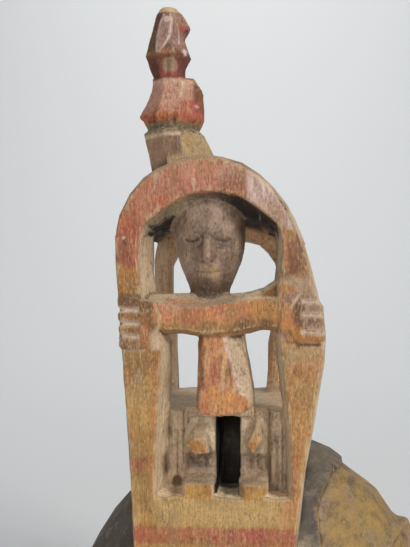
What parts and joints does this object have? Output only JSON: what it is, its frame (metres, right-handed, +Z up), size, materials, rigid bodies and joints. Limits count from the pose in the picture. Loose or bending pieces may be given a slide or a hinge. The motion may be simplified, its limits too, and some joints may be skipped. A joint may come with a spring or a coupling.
{
  "type": "crest mask",
  "caption": "Carved wooden crest mask: a hollow tilted head that carries an open arched cage with a seated figure gripping its posts, under a faceted finial.",
  "frame": {"origin": "bottom centre of the bounding box, on the plane of the rim the mask stands on", "axes": "+Z up through the finial, +X towards the face of the tilted head, -Y towards the cage's carved front"},
  "size_m": [0.275, 0.166, 0.443],
  "materials": {
    "carved_wood": "matte, worn paint"
  },
  "bodies": {
    "root": {"crest_mask": "carved_wood"}
  },
  "joints": []
}
